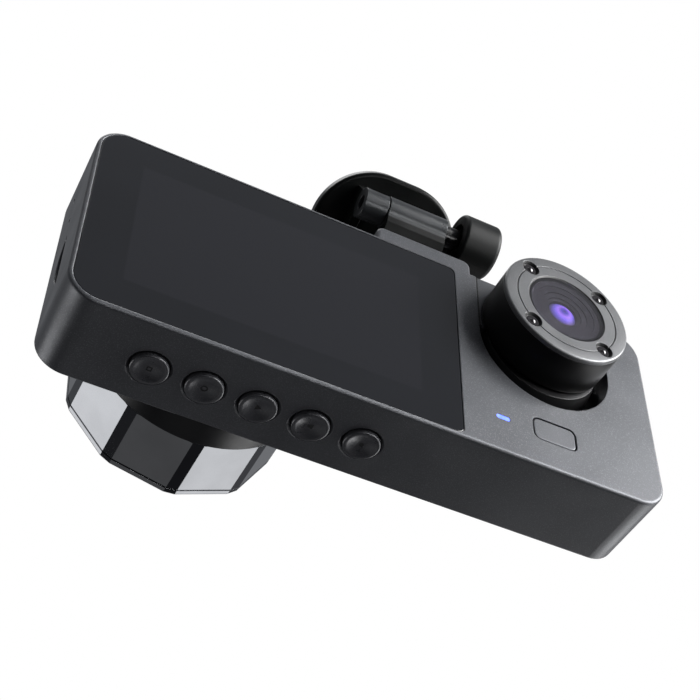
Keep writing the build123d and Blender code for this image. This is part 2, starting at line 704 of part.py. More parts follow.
def mount_plate():
    plate = extrude(plate_outline(), PLATE_T)
    plate = soften(plate, 0.8, Axis.Z, 0.0)
    solid = plate_frame() * (Pos(0, 0, PLATE_OFF) * plate)
    x0 = KNUCKLE_X + GAP
    x1 = KNUCKLE_X1
    knuckle = rod_x(HINGE_R - 0.15, x0, x1, HINGE_Y, HINGE_Z)
    width = x1 - x0
    mid = (x0 + x1) / 2 - BOSS_X
    web_top = PLATE_OFF + 0.8
    web = Pos(mid, -1.2, web_top / 2) * Box(width, 1.3 * HINGE_R, web_top)
    rib_top = PLATE_OFF + 0.6
    rib_end = PLATE_TOP - 0.59 * PLATE_L
    rib_face = make_face(Polyline((2.4, 0.4), (2.4, rib_top), (rib_end, rib_top), close=True))
    side = Plane(origin=(mid + width / 2 - 2, 0, 0), x_dir=(0, 1, 0), z_dir=(1, 0, 0))
    rib = extrude(side * rib_face, 2.0)
    solid += knuckle + plate_frame() * (web + rib)
    clear = rod_x(HINGE_R + 0.5, ARM_X1 - 1, x0, HINGE_Y, HINGE_Z)
    solid -= clear
    return solid - rod_x(PIN_R + FIT, x0 - 1, x1 + 2, HINGE_Y, HINGE_Z)


def arm_profile():
    """Side of the arm in Y and Z, from the knuckle down to the tongue."""
    low = SLOT_Z - SLOT_H / 2 + GAP
    back = FRONT_Y - 0.4
    front = back - ARM_T
    shoulder = TOP_Z + 2 * BOSS_H
    pts = [
        (HINGE_Y + 0.81 * HINGE_R, HINGE_Z),
        (HINGE_Y - 0.94 * HINGE_R, HINGE_Z - 0.8),
        (front, shoulder + 0.6),
        (front, low),
        (back, low),
        (back, shoulder - 0.2),
        (HINGE_Y + 1.2, HINGE_Z - HINGE_R - 1.2),
    ]
    return make_face(Polyline(*pts, close=True))


def mount_arm():
    x1 = KNUCKLE_X - GAP
    x0 = ARM_X1
    side = Plane(origin=(x0, 0, 0), x_dir=(0, 1, 0), z_dir=(1, 0, 0))
    solid = extrude(side * arm_profile(), x1 - x0)
    solid += rod_x(HINGE_R, x0, x1, HINGE_Y, HINGE_Z)
    tongue = Pos(BOSS_X, SLOT_Z) * SlotOverall(SLOT_W - 2 * GAP, SLOT_H - 2 * GAP)
    solid += slab(tongue, FRONT_Y - 0.4 - ARM_T, FRONT_Y + SLOT_DEPTH - 0.4)
    solid -= rod_x(PIN_R + FIT, x0 - 1, x1 + 1, HINGE_Y, HINGE_Z)
    return solid


def mount_pin():
    shank = rod_x(PIN_R, KNOB_X0 - PIN_IN_KNOB, KNUCKLE_X1 - 0.9, HINGE_Y, HINGE_Z)
    collar = rod_x(COLLAR_R, KNOB_X0, ARM_X1 - GAP, HINGE_Y, HINGE_Z)
    return shank + collar


def mount_knob():
    end = KNOB_X0 - KNOB_L
    solid = rod_x(KNOB_R, end, KNOB_X0, HINGE_Y, HINGE_Z)
    solid = soften(solid, 1.0, Axis.X, end)
    solid = soften(solid, 0.6, Axis.X, KNOB_X0)
    solid -= rod_x(0.6 * KNOB_R, KNOB_X0 - 1.2, KNOB_X0 + 1, HINGE_Y, HINGE_Z)
    return solid - rod_x(PIN_R, KNOB_X0 - PIN_IN_KNOB, KNOB_X0 + 1, HINGE_Y, HINGE_Z)


# ---------------------------------------------------------------- pieces

PIECES = {
    "front_shell": front_shell,
    "rear_frame": rear_frame,
    "screen_glass": screen_glass,
    "lcd_panel": lcd_panel,
    "main_board": main_board,
    "board_screws": board_screws,
    "backup_cell": backup_cell,
    "speaker": speaker,
    "usb_socket": usb_socket,
    "av_jack": av_jack,
    "card_socket": card_socket,
    "memory_card": memory_card,
    "microphone": microphone,
    "reset_switch": reset_switch,
    "button_board": button_board,
    "power_button": power_button,
    "power_switch": power_switch,
    "status_light": status_light,
    "lens_barrel": lens_barrel,
    "barrel_bezel": barrel_bezel,
    "bezel_plate": bezel_plate,
    "window_ring": window_ring,
    "lens_window": lens_window,
    "lens_cell": lens_cell,
    "lens_front_glass": lens_front_glass,
    "lens_rear_glass": lens_rear_glass,
    "lock_ring": lock_ring,
    "front_sensor_board": front_sensor_board,
    "cabin_cradle": cradle,
    "cabin_pivot_pins": pivot_pins,
    "cabin_barrel": cabin_barrel,
    "cabin_face": cabin_face,
    "cabin_window": cabin_window,
    "cabin_ir_lamps": ir_lamps,
    "cabin_lens_cell": cabin_lens_cell,
    "cabin_lens_glass": cabin_lens_glass,
    "cabin_sensor_board": cabin_sensor_board,
    "mount_pad": mount_pad,
    "mount_plate": mount_plate,
    "mount_arm": mount_arm,
    "mount_pin": mount_pin,
    "mount_knob": mount_knob,
}


def adhesive_centre():
    """Centre of the adhesive face, the origin of the finished part."""
    return plate_frame().from_local_coords((0, PLATE_TOP - PLATE_L / 2, PLATE_OFF + PLATE_T + PAD_T))


def write(name, solid, home):
    placed = Pos(-home.X, -home.Y, -home.Z) * solid
    placed.label = name
    export_step(placed, f"parts/{name}.step")


home = adhesive_centre()
for name, make in PIECES.items():
    write(name, make(), home)
for k in range(MENU_COUNT):
    write(f"menu_button_{k + 1}", menu_button(k), home)
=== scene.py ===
"""Dash camera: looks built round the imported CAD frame, in metres."""
from math import cos, pi, radians, sin, sqrt

import bmesh
import bpy
from mathutils import Matrix, Vector


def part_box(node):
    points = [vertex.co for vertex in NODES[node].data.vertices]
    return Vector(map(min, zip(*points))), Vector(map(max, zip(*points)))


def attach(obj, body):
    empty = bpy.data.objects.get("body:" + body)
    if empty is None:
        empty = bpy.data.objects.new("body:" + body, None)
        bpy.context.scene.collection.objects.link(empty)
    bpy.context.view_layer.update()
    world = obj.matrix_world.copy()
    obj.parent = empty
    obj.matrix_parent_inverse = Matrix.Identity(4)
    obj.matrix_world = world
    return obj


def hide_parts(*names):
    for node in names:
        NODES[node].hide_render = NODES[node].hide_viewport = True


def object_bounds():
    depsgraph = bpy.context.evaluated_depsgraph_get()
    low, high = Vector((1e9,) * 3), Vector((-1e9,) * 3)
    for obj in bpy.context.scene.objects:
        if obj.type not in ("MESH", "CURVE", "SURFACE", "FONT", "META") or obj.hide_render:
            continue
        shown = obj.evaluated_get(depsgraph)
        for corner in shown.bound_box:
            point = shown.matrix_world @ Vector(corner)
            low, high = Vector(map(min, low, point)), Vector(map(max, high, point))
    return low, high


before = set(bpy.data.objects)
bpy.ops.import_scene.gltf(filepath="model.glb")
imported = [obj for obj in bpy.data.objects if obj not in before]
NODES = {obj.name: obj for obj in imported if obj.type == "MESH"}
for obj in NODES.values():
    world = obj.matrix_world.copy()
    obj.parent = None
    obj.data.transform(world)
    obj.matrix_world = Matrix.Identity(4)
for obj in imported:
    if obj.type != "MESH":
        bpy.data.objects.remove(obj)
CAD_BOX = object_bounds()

MM = 0.001
SEAM_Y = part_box("front_shell")[1][1]
scene = bpy.context.scene


def middle(node):
    lo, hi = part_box(node)
    return (Vector(lo) + Vector(hi)) / 2


def low(node):
    return Vector(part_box(node)[0])


def high(node):
    return Vector(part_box(node)[1])


# ---------------------------------------------------------------- camera

CENTRE = (Vector(CAD_BOX[0]) + Vector(CAD_BOX[1])) / 2
CAM_BACK = Vector((0.3107, 0.6254, -0.7157))     # from the object to the camera
HALF_DEPTH = 8.6 * MM
HALF_HEIGHT = 22.2 * MM
CASE_MID = Vector((
    middle("front_shell").x,
    high("rear_frame").y - HALF_DEPTH,
    low("front_shell").z + HALF_HEIGHT,
))
CAM_AT = CASE_MID + Vector((78.9, 156.8, -192.9)) * MM


def make_camera():
    data = bpy.data.cameras.new("camera")
    data.sensor_width = 36.0
    data.lens = 76.0
    data.shift_x = -0.012
    data.shift_y = 0.075
    data.clip_start = 0.01
    cam = bpy.data.objects.new("camera", data)
    scene.collection.objects.link(cam)
    cam.location = CAM_AT
    cam.rotation_mode = "QUATERNION"
    turn = Matrix.Rotation(radians(0.55), 3, CAM_BACK.normalized()).to_quaternion()
    cam.rotation_quaternion = turn @ (-CAM_BACK).to_track_quat("-Z", "Y")
    scene.camera = cam


# ---------------------------------------------------------------- materials

class Paint:
    """One Principled material with its node chain."""

    def __init__(self, name, base, roughness, metallic=0.0, specular=0.5, coat=0.0,
                 coat_roughness=0.05, transmission=0.0, ior=1.5):
        self.mat = bpy.data.materials.new(name)
        self.mat.use_nodes = True
        self.tree = self.mat.node_tree
        self.shader = self.tree.nodes["Principled BSDF"]
        self.base = base
        self.roughness = roughness
        self.set("Base Color", (*base, 1.0))
        self.set("Roughness", roughness)
        self.set("Metallic", metallic)
        self.set("Specular IOR Level", specular)
        self.set("Coat Weight", coat)
        self.set("Coat Roughness", coat_roughness)
        self.set("Transmission Weight", transmission)
        self.set("IOR", ior)
        self.place = self.node("ShaderNodeTexCoord").outputs["Object"]
        self.normal = None

    def set(self, socket, value):
        self.shader.inputs[socket].default_value = value

    def node(self, kind, **values):
        made = self.tree.nodes.new(kind)
        for key, value in values.items():
            setattr(made, key, value)
        return made

    def link(self, a, b):
        self.tree.links.new(a, b)

    def noise(self, size_mm, detail=3.0, stretch=(1, 1, 1)):
        """Noise whose largest features are about size_mm across."""
        scale = self.node("ShaderNodeMapping")
        scale.inputs["Scale"].default_value = [s / (size_mm * MM) for s in stretch]
        self.link(self.place, scale.inputs["Vector"])
        made = self.node("ShaderNodeTexNoise")
        made.inputs["Scale"].default_value = 1.0
        made.inputs["Detail"].default_value = detail
        self.link(scale.outputs["Vector"], made.inputs["Vector"])
        return made.outputs["Fac"]

    def spread(self, value, lo, hi):
        """The noise value stretched from lo to hi."""
        made = self.node("ShaderNodeMapRange")
        made.inputs["From Min"].default_value = 0.3
        made.inputs["From Max"].default_value = 0.7
        made.inputs["To Min"].default_value = lo
        made.inputs["To Max"].default_value = hi
        self.link(value, made.inputs["Value"])
        return made.outputs["Result"]

    def ramp(self, value, stops):
        made = self.node("ShaderNodeValToRGB")
        points = made.color_ramp.elements
        while len(points) < len(stops):
            points.new(0.5)
        for point, (at, colour) in zip(points, stops):
            point.position = at
            point.color = (*colour, 1.0)
        self.link(value, made.inputs["Fac"])
        return made.outputs["Color"]

    def mix(self, amount, a, b):
        """Colour a to colour b by amount; a colour or an output."""
        made = self.node("ShaderNodeMix", data_type="RGBA")
        self.link(amount, made.inputs["Factor"])
        for socket, value in ((made.inputs[6], a), (made.inputs[7], b)):
            if isinstance(value, tuple):
                socket.default_value = (*value, 1.0)
            else:
                self.link(value, socket)
        return made.outputs[2]

    def mottle(self, size_mm, amount):
        """Slow change of tone over the surface."""
        dark = tuple(c * (1 - amount) for c in self.base)
        pale = tuple(min(1, c * (1 + amount)) for c in self.base)
        out = self.ramp(self.noise(size_mm), ((0.35, dark), (0.65, pale)))
        self.colour = out
        self.link(out, self.shader.inputs["Base Color"])
        return self

    def fleck(self, size_mm, tone):
        """Small bright flakes, as in metallic paint."""
        none, full = 0.62, 0.72
        mask = self.ramp(self.noise(size_mm, 0.0), ((none, (0, 0, 0)), (full, (1, 1, 1))))
        grey = self.node("ShaderNodeRGBToBW")
        self.link(mask, grey.inputs["Color"])
        self.colour = self.mix(grey.outputs["Val"], self.colour, tone)
        self.link(self.colour, self.shader.inputs["Base Color"])
        return self

    def smudge(self, size_mm, change):
        """Slow change of roughness."""
        r = self.roughness
        out = self.spread(self.noise(size_mm, 4.0), max(0.01, r - change), r + change)
        self.link(out, self.shader.inputs["Roughness"])
        return self

    def grain(self, size_mm, height_mm, detail=2.0, stretch=(1, 1, 1)):
        """Fine relief of the surface."""
        made = self.node("ShaderNodeBump")
        made.inputs["Strength"].default_value = 1.0
        made.inputs["Distance"].default_value = height_mm * MM
        self.link(self.noise(size_mm, detail, stretch), made.inputs["Height"])
        if self.normal is not None:
            self.link(self.normal, made.inputs["Normal"])
        self.normal = made.outputs["Normal"]
        self.link(self.normal, self.shader.inputs["Normal"])
        return self

    def beside(self, axis, value, width_mm):
        """0 within width_mm of a plane across the axis, 1 beyond."""
        split = self.node("ShaderNodeSeparateXYZ")
        self.link(self.place, split.inputs["Vector"])
        off = self.node("ShaderNodeMath", operation="SUBTRACT")
        off.inputs[1].default_value = value
        self.link(split.outputs[axis], off.inputs[0])
        size = self.node("ShaderNodeMath", operation="ABSOLUTE")
        self.link(off.outputs["Value"], size.inputs[0])
        step = self.node("ShaderNodeMapRange")
        step.inputs["From Min"].default_value = (width_mm - 0.04) * MM
        step.inputs["From Max"].default_value = (width_mm + 0.04) * MM
        self.link(size.outputs["Value"], step.inputs["Value"])
        return step.outputs["Result"]

    def outline(self, lo, hi, rim_mm):
        """1 within rim_mm of the sides of a box across X and Z, 0 inside."""
        near = []
        for axis, k in (("X", 0), ("Z", 2)):
            middle_at = (lo[k] + hi[k]) / 2
            near.append(self.beside(axis, middle_at, (hi[k] - lo[k]) / 2 / MM - rim_mm))
        both = self.node("ShaderNodeMath", operation="MAXIMUM")
        self.link(near[0], both.inputs[0])
        self.link(near[1], both.inputs[1])
        return both.outputs["Value"]

    def edges(self, radius_mm, tone=None, reach=0.25, seam_y=None, within=None):
        """Rounded edges in the shading, and a paler band along them: part wear, part painted highlight.

        Neither is made along the seam at seam_y, and the paler band is kept to where within is 1."""
        made = self.node("ShaderNodeBevel", samples=4)
        made.inputs["Radius"].default_value = radius_mm * MM
        real = self.node("ShaderNodeNewGeometry")
        self.normal = made.outputs["Normal"]
        if seam_y is not None:
            blend = self.node("ShaderNodeMix", data_type="VECTOR")
            self.link(self.beside("Y", seam_y, 1.3 * radius_mm), blend.inputs["Factor"])
            self.link(real.outputs["Normal"], blend.inputs[4])
            self.link(self.normal, blend.inputs[5])
            self.normal = blend.outputs[1]
        self.link(self.normal, self.shader.inputs["Normal"])
        # Paler band along the edges: part wear, part painted highlight.
        if tone:
            dot = self.node("ShaderNodeVectorMath", operation="DOT_PRODUCT")
            self.link(self.normal, dot.inputs[0])
            self.link(real.outputs["Normal"], dot.inputs[1])
            edge = self.node("ShaderNodeMapRange")
            edge.inputs["From Min"].default_value = 0.995
            edge.inputs["From Max"].default_value = 0.85
            edge.inputs["To Max"].default_value = reach
            self.link(dot.outputs["Value"], edge.inputs["Value"])
            wear_and_highlight = self.node("ShaderNodeMath", operation="MULTIPLY")
            self.link(edge.outputs["Result"], wear_and_highlight.inputs[0])
            self.link(self.spread(self.noise(1.5, 4.0), 0.4, 1.0), wear_and_highlight.inputs[1])
            if within is not None:
                kept = self.node("ShaderNodeMath", operation="MULTIPLY")
                self.link(wear_and_highlight.outputs["Value"], kept.inputs[0])
                self.link(within, kept.inputs[1])
                wear_and_highlight = kept
            self.colour = self.mix(wear_and_highlight.outputs["Value"], self.colour, tone)
            self.link(self.colour, self.shader.inputs["Base Color"])
        return self


def satin_case():
    p = Paint("case_paint", (0.050, 0.052, 0.058), 0.40, metallic=0.45, specular=0.45)
    p.mottle(14, 0.07).fleck(0.16, (0.085, 0.088, 0.095))
    lo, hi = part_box("front_shell")
    rim = p.outline(lo, hi, 1.4)
    # Paler band along the case's outer edges: mostly painted highlight, partly wear.
    p.edges(0.3, (0.42, 0.425, 0.44), 0.65, SEAM_Y, rim)
    return p.smudge(9, 0.05).grain(0.22, 0.006).mat


def satin_button():
    p = Paint("button_paint", (0.044, 0.045, 0.050), 0.30, metallic=0.35, specular=0.55)
    p.mottle(3, 0.10).fleck(0.16, (0.08, 0.08, 0.085)).edges(0.12)
    return p.smudge(3, 0.05).grain(0.2, 0.005).mat


def satin_face():
    p = Paint("face_paint", (0.085, 0.087, 0.090), 0.36, metallic=0.4, specular=0.45)
    # Paler band along the edges: part wear, part painted highlight.
    p.mottle(6, 0.08).fleck(0.14, (0.13, 0.13, 0.135)).edges(0.15, (0.22, 0.22, 0.23))
    return p.smudge(5, 0.05).grain(0.18, 0.006).mat


BALL_R = 12.62                  # painted dark as shade out to here from the tilt axis, mm
PLATE_HALF = 13.12              # the plate's sides are painted dark as shade in the gap beyond here, mm


def cradle_paint():
    """Grey plate on a ball painted near-black as shade, told apart by the distance from the tilt axis; the
    plate's sides painted black as shade in the gap.
    """
    p = Paint("cradle_paint", (0.050, 0.052, 0.058), 0.40, metallic=0.35, specular=0.45)
    p.mottle(6, 0.08).fleck(0.16, (0.085, 0.088, 0.095))
    lo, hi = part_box("cabin_pivot_pins")
    axis = [(a + b) / 2 for a, b in zip(lo, hi)]
    reach = p.node("ShaderNodeVectorMath", operation="DISTANCE")
    p.link(p.place, reach.inputs[0])
    reach.inputs[1].default_value = axis
    step = p.node("ShaderNodeMapRange")
    step.inputs["From Min"].default_value = BALL_R * MM
    step.inputs["From Max"].default_value = (BALL_R + 0.04) * MM
    p.link(reach.outputs["Value"], step.inputs["Value"])
    # Painted shade: the ball down in the pocket is made near-black.
    p.colour = p.mix(step.outputs["Result"], (0.006, 0.006, 0.0065), p.colour)
    p.edges(0.1, (0.2, 0.2, 0.21), 0.3)
    # Painted shade: the sides facing the gap round the plate are made black.
    side = p.beside("X", axis[0], PLATE_HALF)
    p.colour = p.mix(side, p.colour, (0.002, 0.002, 0.002))
    p.link(p.colour, p.shader.inputs["Base Color"])
    return p.smudge(5, 0.05).grain(0.2, 0.005).mat


def black_chrome():
    p = Paint("barrel_chrome", (0.125, 0.128, 0.135), 0.06, metallic=1.0)
    # Paler band on the barrel's edges: painted highlight, partly wear.
    p.mottle(8, 0.06).edges(0.08, (0.30, 0.30, 0.31), 0.4)
    return p.smudge(12, 0.02).grain(9, 0.0025, 1.0).mat


def gloss_black():
    p = Paint("plinth_satin", (0.0035, 0.0036, 0.0045), 0.34, specular=0.2)
    # Paler band along the edges: part wear, part painted highlight.
    p.mottle(6, 0.2).edges(0.12, (0.03, 0.03, 0.03))
    return p.smudge(7, 0.04).grain(0.3, 0.003, 1.0).mat


def satin_black():
    p = Paint("satin_black", (0.005, 0.005, 0.0055), 0.26, specular=0.45)
    # Paler band along the edges: part wear, part painted highlight.
    p.mottle(6, 0.15).edges(0.15, (0.05, 0.05, 0.05))
    return p.smudge(6, 0.03).grain(0.22, 0.003).mat


def drum_black():
    p = Paint("drum_black", (0.003, 0.003, 0.0033), 0.42, specular=0.22)
    # Paler band along the edges: part wear, part painted highlight.
    p.mottle(6, 0.15).edges(0.15, (0.02, 0.02, 0.02))
    return p.smudge(6, 0.04).grain(0.22, 0.003).mat


def moulded_black():
    p = Paint("moulded_black", (0.0030, 0.0034, 0.0033), 0.46, specular=0.16)
    # Paler band along the edges: part wear, part painted highlight.
    p.mottle(8, 0.18).edges(0.25, (0.014, 0.015, 0.015))
    return p.smudge(7, 0.06).grain(0.45, 0.010, 4.0).mat


KNUCKLE_R = 3.22                # grey out to here from the hinge axis, painted near-black as shade beyond, mm


def hinge_paint():
    """Black moulding that is satin grey on the knuckles round the hinge axis and painted near-black away
    from them as painted shade.
    """
    p = Paint("hinge_paint", (0.026, 0.028, 0.030), 0.32, metallic=0.5, specular=0.5)
    p.mottle(8, 0.15).edges(0.25, (0.06, 0.06, 0.065))
    pin = middle("mount_pin")
    flat = p.node("ShaderNodeVectorMath", operation="MULTIPLY")
    flat.inputs[1].default_value = (0, 1, 1)
    p.link(p.place, flat.inputs[0])
    reach = p.node("ShaderNodeVectorMath", operation="DISTANCE")
    reach.inputs[1].default_value = (0, pin.y, pin.z)
    p.link(flat.outputs["Vector"], reach.inputs[0])
    painted_shade_away = p.node("ShaderNodeMapRange")
    painted_shade_away.inputs["From Min"].default_value = KNUCKLE_R * MM
    painted_shade_away.inputs["From Max"].default_value = (KNUCKLE_R + 0.38) * MM
    p.link(reach.outputs["Value"], painted_shade_away.inputs["Value"])
    # Painted shade: near-black away from the knuckles.
    p.colour = p.mix(painted_shade_away.outputs["Result"], p.colour, (0.0022, 0.0025, 0.0024))
    p.link(p.colour, p.shader.inputs["Base Color"])
    for socket, near, away in (("Metallic", 0.5, 0.0), ("Specular IOR Level", 0.5, 0.10)):
        level = p.node("ShaderNodeMapRange")
        level.inputs["To Min"].default_value = near
        level.inputs["To Max"].default_value = away
        p.link(painted_shade_away.outputs["Result"], level.inputs["Value"])
        p.link(level.outputs["Result"], p.shader.inputs[socket])
    return p.smudge(7, 0.05).grain(0.4, 0.007, 3.0).mat


def bezel_paint():
    p = Paint("bezel_paint", (0.033, 0.032, 0.038), 0.38, metallic=0.3, specular=0.5)
    # Paler band along the edges: part wear, part painted highlight.
    p.mottle(7, 0.08).fleck(0.14, (0.055, 0.053, 0.06)).edges(0.08, (0.14, 0.14, 0.15), 0.35)
    return p.smudge(6, 0.05).grain(0.16, 0.004).mat


# Bright metal for stretches of the engraved arcs: painted highlight.
def groove_highlight_metal():
    p = Paint("groove_highlight_metal", (0.42, 0.42, 0.45), 0.28, metallic=1.0)
    p.mottle(1.0, 0.15)
    return p.smudge(1.2, 0.08).grain(0.12, 0.004).mat


def deep_black():
    p = Paint("deep_black", (0.003, 0.003, 0.0035), 0.55, specular=0.3)
    p.mottle(2, 0.3)
    return p.smudge(3, 0.1).grain(0.3, 0.006).mat


def screen_black():
    """Backed cover glass; the switched-off display shows as a faint paler field."""
    p = Paint("cover_glass", (0.0045, 0.0048, 0.0060), 0.05, specular=0.5, ior=1.5)
    lo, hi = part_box("lcd_panel")
    inset = (4.5 * MM, 3.2 * MM)
    p.mottle(30, 0.12)
    split = p.node("ShaderNodeSeparateXYZ")
    p.link(p.place, split.inputs["Vector"])
    parts = []
    for axis, (a, b, gap) in (("X", (lo[0], hi[0], inset[0])), ("Z", (lo[2], hi[2], inset[1]))):
        for sign, limit in ((1, a + gap), (-1, b - gap)):
            step = p.node("ShaderNodeMapRange", interpolation_type="SMOOTHSTEP")
            step.inputs["From Min"].default_value = limit - sign * 0.1 * MM
            step.inputs["From Max"].default_value = limit + sign * 0.3 * MM
            p.link(split.outputs[axis], step.inputs["Value"])
            parts.append(step.outputs["Result"])
    inside = parts[0]
    for other in parts[1:]:
        both = p.node("ShaderNodeMath", operation="MULTIPLY")
        p.link(inside, both.inputs[0])
        p.link(other, both.inputs[1])
        inside = both.outputs["Value"]
    p.colour = p.mix(inside, p.colour, (0.0062, 0.0064, 0.0080))
    p.link(p.colour, p.shader.inputs["Base Color"])
    return p.smudge(22, 0.015).grain(16, 0.004, 1.0).mat


def tinted_window(name, tint):
    p = Paint(name, tint, 0.03, specular=0.5, transmission=0.985, ior=1.45)
    p.mottle(9, 0.04)
    return p.smudge(9, 0.006).mat


def coated_lens(name, axis, rings):
    """Lens glass with its coating colours in rings about an axis along Y, the same colours given off as a
    glow: painted reflection of the coating.
    """
    p = Paint(name, (0.02, 0.02, 0.05), 0.16, specular=0.16)
    p.set("Specular Tint", (1.0, 0.45, 0.85, 1.0))
    shift = p.node("ShaderNodeMapping")
    shift.inputs["Location"].default_value = (-axis[0], 0, -axis[2])
    shift.inputs["Scale"].default_value = (1, 0, 1)
    p.link(p.place, shift.inputs["Vector"])
    size = p.node("ShaderNodeVectorMath", operation="LENGTH")
    p.link(shift.outputs["Vector"], size.inputs[0])
    unit = p.node("ShaderNodeMapRange")
    unit.inputs["From Max"].default_value = rings[0] * MM
    p.link(size.outputs["Value"], unit.inputs["Value"])
    p.colour = p.ramp(unit.outputs["Result"], rings[1])
    p.link(p.colour, p.shader.inputs["Base Color"])
    # Painted reflection: the coating colours glow through Emission.
    p.link(p.colour, p.shader.inputs["Emission Color"])
    p.set("Emission Strength", rings[2])
    return p.smudge(2, 0.01).mat


def steel():
    p = Paint("plain_steel", (0.55, 0.55, 0.56), 0.28, metallic=1.0)
    # Paler band along the edges: part wear, part painted highlight.
    p.mottle(2, 0.1).edges(0.1, (0.8, 0.8, 0.8))
    return p.smudge(2, 0.08).grain(0.3, 0.004, 2.0, (1, 1, 6)).mat


def board_green():
    p = Paint("board_green", (0.012, 0.075, 0.035), 0.4, coat=0.3)
    p.mottle(5, 0.2)
    return p.smudge(4, 0.08).grain(0.6, 0.01).mat


def foam_pad():
    p = Paint("adhesive_pad", (0.020, 0.020, 0.021), 0.85, specular=0.3)
    p.mottle(4, 0.10)
    return p.smudge(3, 0.08).grain(0.5, 0.05, 5.0).mat


def lamp_clear():
    p = Paint("lamp_clear", (0.008, 0.007, 0.008), 0.10, specular=0.6)
    p.mottle(0.8, 0.2)
    return p.smudge(1, 0.02).mat


def blue_light():
    p = Paint("status_blue", (0.10, 0.16, 0.85), 0.3)
    p.mottle(0.8, 0.2)
    p.set("Emission Color", (0.07, 0.12, 1.0, 1.0))
    p.set("Emission Strength", 1.6)
    return p.smudge(1, 0.08).mat


# ---------------------------------------------------------------- mesh helpers

def finish_mesh(name, bm, mats, sharp=30.0):
    bmesh.ops.remove_doubles(bm, verts=bm.verts, dist=1e-8)
    bmesh.ops.recalc_face_normals(bm, faces=bm.faces)
    limit = radians(sharp)
    for face in bm.faces:
        face.smooth = True
    for edge in bm.edges:
        if len(edge.link_faces) == 2:
            edge.smooth = edge.calc_face_angle() < limit
    mesh = bpy.data.meshes.new(name)
    bm.to_mesh(mesh)
    bm.free()
    for mat in mats:
        mesh.materials.append(mat)
    made = bpy.data.objects.new(name, mesh)
    scene.collection.objects.link(made)
    return made


def along(axis):
    """How local (u, v, w) lies in the frame for a turned piece, w along the axis."""
    return {
        "Y": lambda u, v, w: Vector((u, w, v)),
        "Z": lambda u, v, w: Vector((u, v, w)),
    }[axis]


def turned(name, at, axis, stations, mats, outline=None, steps=360, sharp=30.0, paint=None):
    """Ring or disc turned about an axis through at.

    A station is (radius, offset along the axis, share of the outline), and the last joins
    the first.  The offset may be a function of the angle in degrees.  paint gives a face its
    material from its station and its angle."""
    bm = bmesh.new()
    put = along(axis)
    rings = []
    for station in stations:
        radius, offset = station[:2]
        share = station[2] if len(station) > 2 else 0.0
        ring = []
        for k in range(steps):
            a = 360.0 * k / steps
            r = radius
            if share:
                r = radius * (1 + share * (outline(a) - 1))
            w = offset(a) if callable(offset) else offset
            point = put(r * cos(radians(a)), r * sin(radians(a)), w)
            ring.append(bm.verts.new(Vector(at) + point))
        rings.append(ring)
    count = len(rings)
    for i in range(count):
        a, b = rings[i], rings[(i + 1) % count]
        if stations[i][0] == 0 and stations[(i + 1) % count][0] == 0:
            continue
        for k in range(steps):
            j = (k + 1) % steps
            face = bm.faces.new((a[k], a[j], b[j], b[k]))
            if paint:
                face.material_index = paint(i, 360.0 * (k + 0.5) / steps)
    return finish_mesh(name, bm, mats, sharp)


def arc(centre_r, centre_w, radius, a0, a1, steps=5):
    """Points of a rounded profile corner as (radius, offset)."""
    out = []
    for k in range(steps + 1):
        a = radians(a0 + (a1 - a0) * k / steps)
        out.append((centre_r + radius * cos(a), centre_w + radius * sin(a)))
    return out


DOME_STEPS = 12


def dome(top, radius, rim, side):
    """Profile of a ball's cap from its apex out to the rim, falling away to one side."""
    out = [(0.0, top)]
    for k in range(1, DOME_STEPS + 1):
        r = k / DOME_STEPS * rim
        out.append((r, top + side * (radius - sqrt(radius * radius - r * r))))
    return out


def use(obj, body, slot, *nodes):
    """The piece rides a body and may stand in for CAD nodes; the slot argument is not used."""
    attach(obj, body)
    if nodes:
        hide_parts(*nodes)
    return obj


def cut(obj, cutters):
    """obj with the cutters taken away."""
    for cutter in cutters:
        mod = obj.modifiers.new("cut", "BOOLEAN")
        mod.operation = "DIFFERENCE"
        mod.solver = "EXACT"
        mod.object = cutter
    bpy.context.view_layer.update()
    graph = bpy.context.evaluated_depsgraph_get()
    mesh = bpy.data.meshes.new_from_object(obj.evaluated_get(graph))
    obj.modifiers.clear()
    old = obj.data
    obj.data = mesh
    bpy.data.meshes.remove(old)
    for cutter in cutters:
        bpy.data.objects.remove(cutter)


# ---------------------------------------------------------------- front lens

FACETS = 10
STRIP = 3.0                     # half the angle of the flat along each corner
PHASE = 13.0


def facet_radius(angle):
    """Radius of the ten-sided outline at an angle, 1 at its corners."""
    pitch = 360.0 / FACETS
    a = (angle - PHASE + pitch / 2) % pitch - pitch / 2
    if abs(a) <= STRIP:
        return cos(radians(STRIP)) / cos(radians(a))
    half = pitch / 2 - STRIP
    off = abs(a) - pitch / 2
    return cos(radians(half)) / cos(radians(off))


LENS = middle("bezel_plate")
FACE = low("barrel_bezel").y
BARREL_R = 20.2 * MM            # over the corners
BARREL_BORE = 15.2 * MM
PLINTH_R = 20.7 * MM
BEZEL_SEAT = 1.4 * MM           # depth of the joint between barrel and bezel
BEZEL_BORE = 18.0 * MM
LIP = 0.25 * MM                 # groove along that joint
WINDOW_BORE = 6.78 * MM
CASE_FRONT = low("front_shell").y + 0.3 * MM


def at_lens(y):
    return (LENS.x, y, LENS.z)


